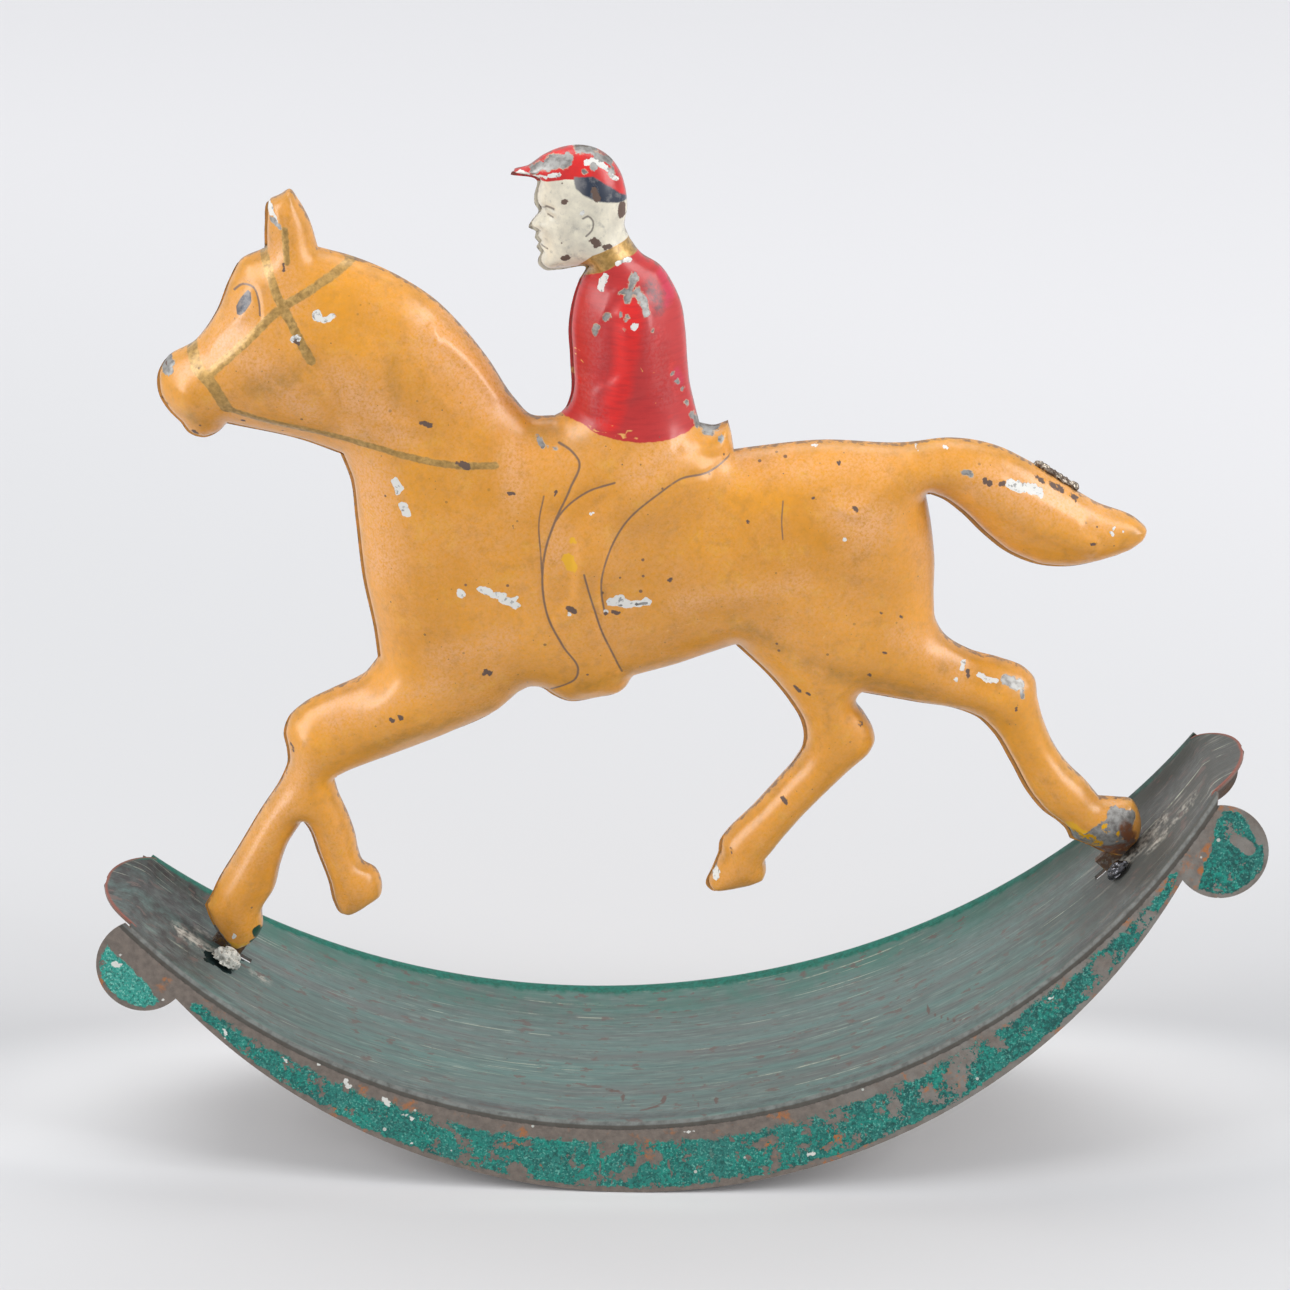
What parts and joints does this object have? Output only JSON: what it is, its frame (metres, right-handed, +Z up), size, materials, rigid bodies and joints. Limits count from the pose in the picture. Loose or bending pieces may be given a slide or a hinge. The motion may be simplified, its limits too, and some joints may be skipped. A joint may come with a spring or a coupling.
{
  "type": "tin rocking horse toy",
  "caption": "Pressed tin horse and jockey in two half shells, fixed by their hooves to a curved rocking base with a pair of rails.",
  "frame": {"origin": "on the ground under the middle of the toy's length and width", "axes": "+Z up, -X the way the horse faces, -Y the side seen in the picture"},
  "size_m": [0.0986, 0.0266, 0.0879],
  "materials": {
    "enamel": "gloss enamel on tinplate, ochre horse and red jacket, worn",
    "green_paint": "thin green paint on tinplate, worn to bare metal along the edges",
    "solder": "dull soft solder",
    "filler": "crumbly pale filler"
  },
  "bodies": {
    "root": {"near_half": "enamel", "far_half": "enamel", "rocker_base": "green_paint", "front_hoof_filler": "filler", "rear_hoof_solder": "solder", "tail_seam_solder": "solder"}
  },
  "joints": []
}
